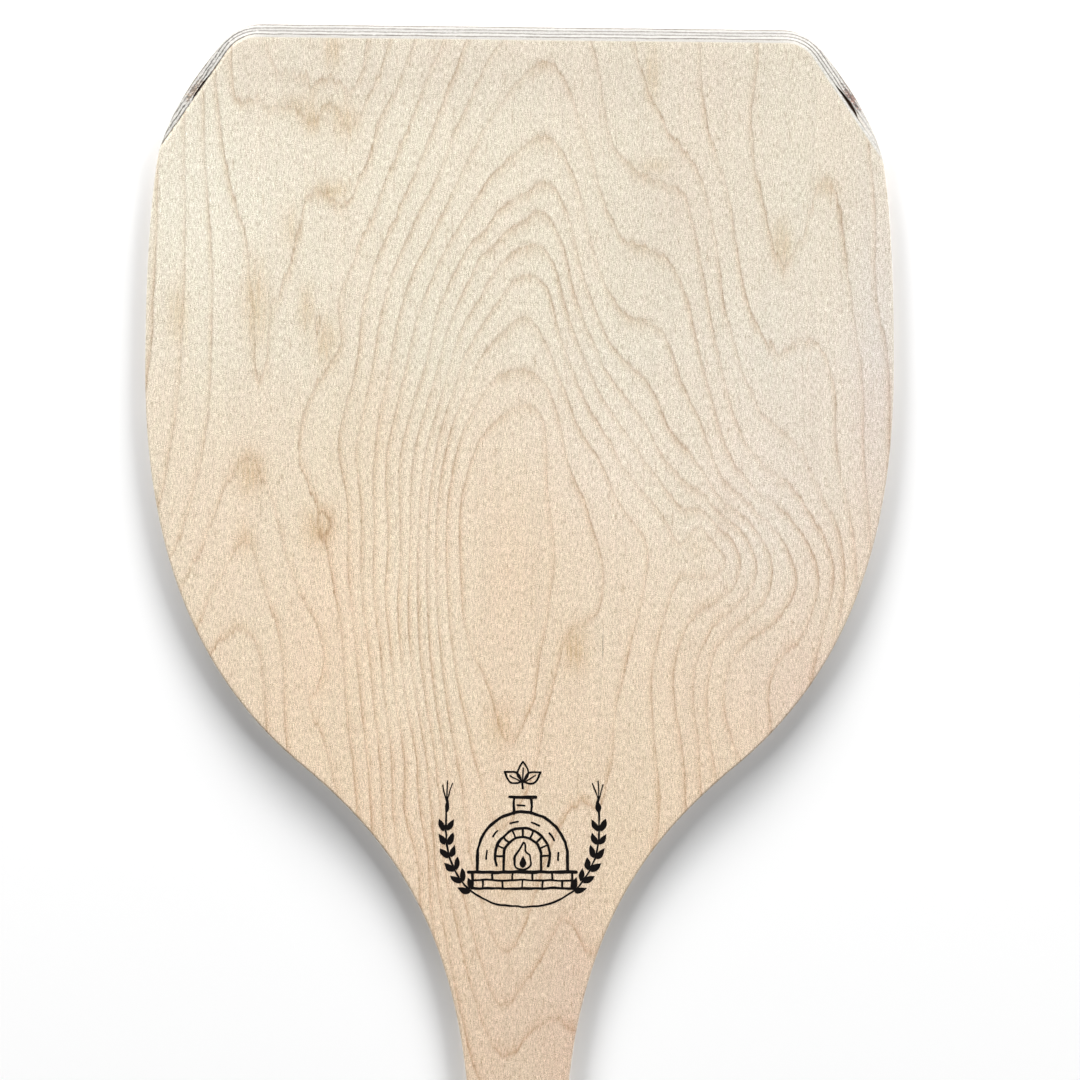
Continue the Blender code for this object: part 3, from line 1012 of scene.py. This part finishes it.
# The last stretch of the right corner is sanded so finely that its glue lines hardly show.
FINE_FROM, FINE_FULL, FINE_COVER = 0.1345, 0.1385, 0.75
GLUE_DARK, GLUE_BROWN = (0.055, 0.042, 0.032), (0.12, 0.098, 0.080)
# Near-black painted shade inside the void, on the torn edges of the crossband strips and on the glue
# faces there.
PAINTED_VOID_SHADE = (0.016, 0.007, 0.004)
VOID_SHEEN, WOOD_SHEEN, RAW_WOOD_SHEEN = 0.04, 0.5, 0.0
BEVEL_FADE = 0.8 * MM
# Stretches along X in which the bevel turns paler, uneven, scorched and dimmed at the crest towards its
# corners, with its tones along the front and on the corner. The darker front, which faces the front
# softbox, is partly painted shade, and the paler corners are partly painted light; the rest is lighter
# sanding on the corners.
PALER, RIGHT_TONES, LEFT_TONES = (0.098, 0.120), (0.86, 1.18), (1.0, 1.38)
UNEVEN, UNEVEN_TONES = (0.100, 0.120), (0.08, 0.48)
SCORCHING = (-0.098, -0.122)
LEFT_CREST_SPAN, LEFT_CREST_DIMMING = (-0.104, -0.120), 0.74


def speckle(g, colour):
    """Fine mottle of the cut fibres; the dark ones are a little warmer."""
    fine = g.times(g.noise((0.25, 0.38, 0.8), detail=0.0), 0.52)
    dash = g.times(g.noise((0.28, 2.2, 0.8), detail=1.0), 0.48)
    mixed = g.ramp(g.math("ADD", fine, dash), 0.25, 0.75, smooth=False)
    return g.scaled(colour, g.mix(mixed, SPECKLE_DARK, SPECKLE_PALE))


def ring_lines(g):
    """Growth rings: strength of the thin line, and of the latewood on its inner side."""
    ring, steepness, along = g.split(g.stored("figure", output=1))
    # Lines that run across the fibres break up, because each fibre ends a little elsewhere.
    reach = g.ramp(ring, 8.0, 13.0, *RAGGED_REACH)
    shift = g.times(g.centred((1.8, 16, 5), detail=3.0, roughness=0.65), reach)
    phase = g.math("MULTIPLY_ADD", shift, along, ring)
    phase = g.math("MULTIPLY_ADD", g.centred((6, 24, 20)), RING_WANDER, phase)
    part = g.math("FRACT", phase)
    after = g.ratio(part, steepness)
    before = g.ratio(g.less(part), steepness)
    # Crisp where the ring runs along the fibres, wide and soft where it crosses them.
    crossing = g.ramp(g.math("ABSOLUTE", g.ratio(along, steepness)), 0.55, 0.98)
    width = g.math("MULTIPLY_ADD", crossing, CROSSING_LINE - CRISP_LINE, CRISP_LINE)
    width = g.times(width, g.patchy((5, 28, 30), 0.75, 1.25))
    line_shape = g.fade(g.math("MINIMUM", after, before), width)
    patches = g.patchy((18, 34, 50), 0.35, 1.05)
    breakup = g.patchy((0.8, 6, 4), 0.7, 1.15, detail=1.0)
    strength = g.times(g.times(patches, breakup), g.ramp(crossing, 0.0, 1.0, 1.0, 0.55))
    depth = g.math("MULTIPLY_ADD", crossing, CROSSING_LATEWOOD - CRISP_LATEWOOD, CRISP_LATEWOOD)
    latewood = g.fade(before, depth)
    latewood = g.times(g.times(latewood, latewood), patches)
    streaks = g.patchy((0.9, 12, 5), 0.4, 1.3)
    latewood = g.times(latewood, g.mix(crossing, (1, 1, 1), streaks))
    return g.times(line_shape, strength), latewood


def veneer_colour(g, cream, peach):
    """Rotary-cut birch seen flat: ground colour, streaks, mottle, rings and flecks."""
    warmth = g.ramp(g.y, *WARMER, smooth=False)
    ground = g.mix(g.math("POWER", warmth, 0.65), cream, peach)
    neutral = g.ramp(g.noise((30, 70, 90)), 0.35, 0.65)
    ground = g.mix(neutral, g.tint(1.0, ground, ROSY), ground)
    streak = g.noise((1.6, 60, 10), detail=3.0)
    ground = g.shade(ground, g.ramp(streak, 0.25, 0.75, 0.955, 1.040, smooth=False))
    ground = g.mix(g.patchy((1.5, 4, 4), detail=1.0), ground, g.tint(1.0, ground, GREENISH))
    ground = speckle(g, ground)
    rings, latewood = ring_lines(g)
    colour = g.tint(g.times(latewood, LATEWOOD_SHARE), ground, LATEWOOD_TINT)
    colour = g.tint(g.times(rings, LINE_SHARE), colour, g.mix(warmth, LINE_TINT, WARM_LINE_TINT))
    fleck = g.ramp(g.noise((0.55, 7, 4), detail=0.0), 0.72, 0.80)
    return g.tint(g.times(fleck, FLECK_SHARE), colour, FLECK_TINT)


def sanded_colour(g):
    """Sanded end grain; it is paler on the clipped corners than along the front, partly as painted
    shade along the front, which faces the front softbox, and painted light on the corners.
    """
    right = g.ramp(g.x, *PALER, *RIGHT_TONES)
    left = g.ramp(g.times(g.x, -1.0), *PALER, *LEFT_TONES)
    rough = g.ramp(g.math("ABSOLUTE", g.x), *UNEVEN, *UNEVEN_TONES)
    mottle = g.math("SUBTRACT", g.patchy((0.8, 0.8, 0.5), detail=1.0), 0.5)
    tone = g.math("MULTIPLY_ADD", mottle, rough, g.times(right, left))
    return g.shade(g.mix(g.noise((1.5, 1.5, 1.5)), SANDED, SANDED_PINK), tone)


def sanded_edge(g, colour):
    """Pale sanded end grain on the bevel and its crest, blended in with some painted shade, and a pale
    rim on the round-over that is partly a painted highlight.
    """
    tilt = g.math("ARCCOSINE", g.math("MINIMUM", g.facing("Z"), 1.0))
    bevel = g.stored("bevel")
    pores = g.noise((0.3, 0.6, 0.3), detail=1.0)
    sanded = g.shade(sanded_colour(g), g.ramp(pores, 0.35, 0.6, 0.90, 1.03))
    # The round-over's pale rim, found by its tilt, is partly paler sanded wood and partly a painted
    # highlight.
    rim = g.times(g.ramp(tilt, math.radians(20), math.radians(65)), g.less(bevel))
    colour = g.mix(g.times(rim, RIM_AND_HIGHLIGHT_SHARE), colour, SANDED_RIM_AND_HIGHLIGHT)
    # Across the crest the colour turns from the veneer's to the sanded one as the surface tilts. The
    # blend's steep start is painted shade that offsets the light the crest gains as it turns to the
    # front softbox.
    amount = g.times(bevel, g.ramp(tilt, 0.0, math.radians(30), smooth=False))
    # On the left corner the veneer's crest and bevel keep the veneer's own colour, dimmed, instead of
    # the sanded one.
    left_crest = g.ramp(g.x, *LEFT_CREST_SPAN)
    return g.mix(amount, colour, g.mix(left_crest, sanded, g.shade(colour, LEFT_CREST_DIMMING)))


def finely_sanded(g):
    """How finely the bevel is sanded towards the end of the right corner."""
    return g.times(g.ramp(g.x, FINE_FROM, FINE_FULL), FINE_COVER)


def soaked_with_glue(g, colour):
    """Wood darkened next to the glue films, and scorched by the sander at the left corner."""
    bevel = g.stored("bevel")
    scorch = g.times(bevel, g.ramp(g.x, *SCORCHING))
    soak = g.ramp(g.noise((1.2, 1.2, 1.2), detail=3.0), *PATCHY, smooth=False)
    reach = g.math("MULTIPLY_ADD", soak, SOAK_SPREAD, SOAK_LEAST)
    reach = g.math("MULTIPLY_ADD", scorch, g.times(soak, SCORCH_SPREAD), reach)
    close = g.times(g.fade(g.stored("glue_gap"), reach), g.less(g.times(finely_sanded(g), bevel)))
    dark = g.mix(bevel, SOAKED, g.mix(scorch, SANDED_SOAKED, SCORCHED))
    return g.mix(g.times(close, SOAK_SHARE), colour, dark)


def make_veneer_material(name, cream, peach, face):
    """Outer veneer; the face also has broad shades, tan patches and a drying check whose dark line is
    painted shade.
    """
    g = Graph(name)
    colour = veneer_colour(g, cream, peach)
    if face:
        colour = g.scaled(colour, g.stored("tone", output=1))
        streaks = g.ramp(g.noise((0.8, 9, 5)), 0.35, 0.65, 0.5, 1.0)
        colour = g.tint(g.times(g.stored("tan"), streaks), colour, TAN_TINT)
        # The drying check is drawn as a dark line: painted shade of the crack.
        ragged = g.times(g.noise((0.6, 1.5, 5)), 0.6)
        check = g.near(CHECK_PLACE, CHECK_REACH, 0.7, 1.35, ragged)
        colour = g.tint(check, colour, CHECK_SHADE_TINT)
    g.bump(g.noise((0.35, 5, 1)), distance=0.03, strength=0.5)
    return g.finish(soaked_with_glue(g, sanded_edge(g, colour)), WOOD_ROUGHNESS, RAW_WOOD_SHEEN)


def make_ply_material(name, colour, fibre, end_shade):
    """Inner ply: streaks along its fibres, rough end grain, glue in its edges, stains, and painted
    shade on its torn edges in the void.
    """
    g = Graph(name)
    cells = (30, 0.5, 0.5) if fibre == "X" else (0.5, 30, 0.5)
    streak = g.noise(cells, detail=3.0, roughness=0.6)
    pores = g.noise((0.28, 0.28, 0.28), detail=1.0)
    ends = g.times(g.ramp(pores, 0.35, 0.6, 0.82, 1.02), end_shade)
    end_grain = g.ramp(g.ramp(g.facing(fibre), 0.35, 0.8), 0.0, 1.0, 1.0, ends)
    tone = g.times(g.ramp(streak, *PATCHY, 0.86, 1.06, smooth=False), end_grain)
    colour = g.shade(g.mix(g.stored("bevel"), colour, sanded_colour(g)), tone)
    colour = soaked_with_glue(g, colour)
    ragged = g.times(g.centred((0.9, 1.1, 0.7)), 3.6)
    spots = g.ramp(g.noise((0.9, 0.9, 0.7), detail=1.0), 0.47, 0.60)
    for place, reach, dark, pale in STAINS:
        amount = g.near(place, reach, 0.55, 1.2, ragged)
        colour = g.mix(g.times(amount, STAIN_SHARE), colour, g.mix(spots, dark, pale))
    # The torn edges along the void get the near-black painted shade of the void.
    torn = g.stored("torn")
    g.bump(streak, distance=0.06, strength=0.6)
    sheen = g.ramp(torn, 0.0, 1.0, WOOD_SHEEN, VOID_SHEEN)
    return g.finish(g.mix(torn, colour, PAINTED_VOID_SHADE), WOOD_ROUGHNESS, sheen)


def make_glue_material(name):
    """Phenolic glue film: dark brown, dulled where it is sanded, and painted near-black inside the void
    as painted shade.
    """
    g = Graph(name)
    patches = g.noise((4, 4, 4), detail=3.0)
    # Faces that look straight up or down show only inside the void, where they get its painted shade.
    inside = g.ramp(g.facing("Z"), 0.9, 0.97)
    colour = g.mix(g.ramp(patches, 0.35, 0.65), GLUE_DARK, GLUE_BROWN)
    colour = g.mix(g.times(finely_sanded(g), g.less(inside)), colour, SANDED)
    roughness = g.ramp(patches, *PATCHY, 0.35, 0.6)
    sheen = g.ramp(inside, 0.0, 1.0, WOOD_SHEEN, VOID_SHEEN)
    return g.finish(g.mix(inside, colour, PAINTED_VOID_SHADE), roughness, sheen)


def make_ink_material(name):
    """Matt black stamping ink that lies a little unevenly on the fibres."""
    g = Graph(name)
    uneven = g.noise((0.35, 1.6, 1))
    blotch = g.noise((3, 5, 3))
    cover = g.math("ADD", g.times(uneven, 0.7), g.times(blotch, 0.3))
    g.bump(uneven, distance=0.02, strength=0.5)
    colour = g.mix(g.ramp(cover, 0.55, 0.75), INK_BLACK, INK_BROWN)
    return g.finish(colour, g.ramp(blotch, *PATCHY, 0.75, 0.9), INK_SHEEN)


def store_bevel(piece):
    """Keep how surely each point lies on the loading bevel, from 0 to 1."""
    places = vertex_places(piece)
    beyond = inside_bevel(places[:, :2])[0] - bevel_depth(places[:, 2])
    store(piece, "bevel", np.clip(1 - beyond / BEVEL_FADE, 0.0, 1.0))


def store_glue_gap(piece, sides):
    """Keep each point's distance to the nearest glue film, in millimetres."""
    places = vertex_places(piece)
    gap = np.full(len(places), 1.0)
    for side in sides:
        if side not in FLAT_FACES:
            gap = np.minimum(gap, np.abs(places[:, 2] - surface(side, places[:, :2])) / MM)
    store(piece, "glue_gap", gap)


def make_layers():
    """Every ply, crossband strip and film, with what its material needs stored on it."""
    materials = {
        "face_wood": make_veneer_material("face_birch", CREAM, PEACH, face=True),
        "back_wood": make_veneer_material("back_birch", BACK_CREAM, BACK_PEACH, face=False),
        "core_wood": make_ply_material("core_birch", CORE_WOOD, "Y", end_shade=0.88),
        "crossband_wood": make_ply_material("crossband_birch", CROSS_WOOD, "X", end_shade=0.85),
        "glue": make_glue_material("phenolic_glue"),
    }
    for node, (sides, _, slot) in LAYERS.items():
        piece = strip(node) if "strip" in node else layer(node)
        piece.data.materials.append(materials[slot])
        store_bevel(piece)
        if slot != "glue":
            store_glue_gap(piece, sides)
        if slot == "face_wood":
            store_figure(piece, face_figure)
            store_tan(piece)
            store_tone(piece)
        elif slot == "back_wood":
            store_figure(piece, back_figure)


# ---- camera, floor, lights
CAMERA_TARGET = Vector((0.0078, 0.0929, THICKNESS))
CAMERA_DISTANCE = 0.65
CAMERA_YAW = math.radians(1.2)
CAMERA_ROLL = math.radians(0.28)
CAMERA_LENS = 54.14

LIGHT_TARGET = Vector((0.0, 0.08, 0.0))
LIGHT_DISTANCE = 5.0
FLOOR_HALF = 6.0
FLOOR_FADE = (0.7, 2.6)
FLOOR_LEVEL = -0.05 * MM
FLOOR_COLOUR = (0.985, 0.985, 0.985)


def add_camera():
    """Camera straight above the head, turned a little towards +X."""
    data = bpy.data.cameras.new("camera")
    data.lens = CAMERA_LENS
    data.sensor_width = 36.0
    camera = add_object("camera", data)
    towards = Vector((math.sin(CAMERA_YAW), 0.0, -math.cos(CAMERA_YAW)))
    camera.location = CAMERA_TARGET - CAMERA_DISTANCE * towards
    turn = Euler((0.0, -CAMERA_YAW, 0.0)).to_matrix() @ Euler((0.0, 0.0, CAMERA_ROLL)).to_matrix()
    camera.rotation_euler = turn.to_euler()
    bpy.context.scene.camera = camera


def add_softbox(name, azimuth, elevation, size, power):
    """Rectangular area light aimed at the peel's middle; azimuth 0 is in front of the peel."""
    data = bpy.data.lights.new(name, "AREA")
    data.shape = "RECTANGLE"
    data.size, data.size_y = size
    data.energy = power
    light = add_object(name, data)
    a, e = math.radians(azimuth), math.radians(elevation)
    away = Vector((math.sin(a) * math.cos(e), math.cos(a) * math.cos(e), math.sin(e)))
    light.location = LIGHT_TARGET + LIGHT_DISTANCE * away
    light.rotation_euler = away.to_track_quat("Z", "Y").to_euler()
    light.visible_camera = False


def add_floor():
    """Plain pale floor that the peel lies on; far away it fades into the background."""
    mesh = bpy.data.meshes.new("floor")
    signs = (-1, -1), (1, -1), (1, 1), (-1, 1)
    corners = [(x * FLOOR_HALF, y * FLOOR_HALF, FLOOR_LEVEL) for x, y in signs]
    mesh.from_pydata(corners, [], [(0, 1, 2, 3)])
    floor = add_object("floor", mesh)
    g = Graph("pale_floor")
    g.feed(g.shader.inputs["Emission Color"], (1.0, 1.0, 1.0))
    g.feed(g.shader.inputs["Emission Strength"], g.ramp(g.length(g.place), *FLOOR_FADE))
    mesh.materials.append(g.finish(FLOOR_COLOUR, roughness=0.9))


def add_world():
    """White background that gives only a little light."""
    world = bpy.data.worlds.new("studio")
    world.use_nodes = True
    nodes, links = world.node_tree.nodes, world.node_tree.links
    background = nodes["Background"]
    background.inputs["Color"].default_value = (1.0, 1.0, 1.0, 1.0)
    seen = nodes.new("ShaderNodeMapRange")
    seen.inputs["To Min"].default_value = 0.06
    seen.inputs["To Max"].default_value = 1.0
    links.new(nodes.new("ShaderNodeLightPath").outputs["Is Camera Ray"], seen.inputs["Value"])
    links.new(seen.outputs["Result"], background.inputs["Strength"])
    bpy.context.scene.world = world


make_layers()
make_mark().data.materials.append(make_ink_material("stamping_ink"))

add_camera()
add_floor()
add_world()
add_softbox("front_softbox", 0, 13, (4.7, 0.9), 586)
add_softbox("left_softbox", -63, 30, (3.2, 2.1), 135)
add_softbox("right_softbox", 63, 30, (3.2, 2.1), 154)
bpy.context.scene.view_settings.view_transform = "Standard"
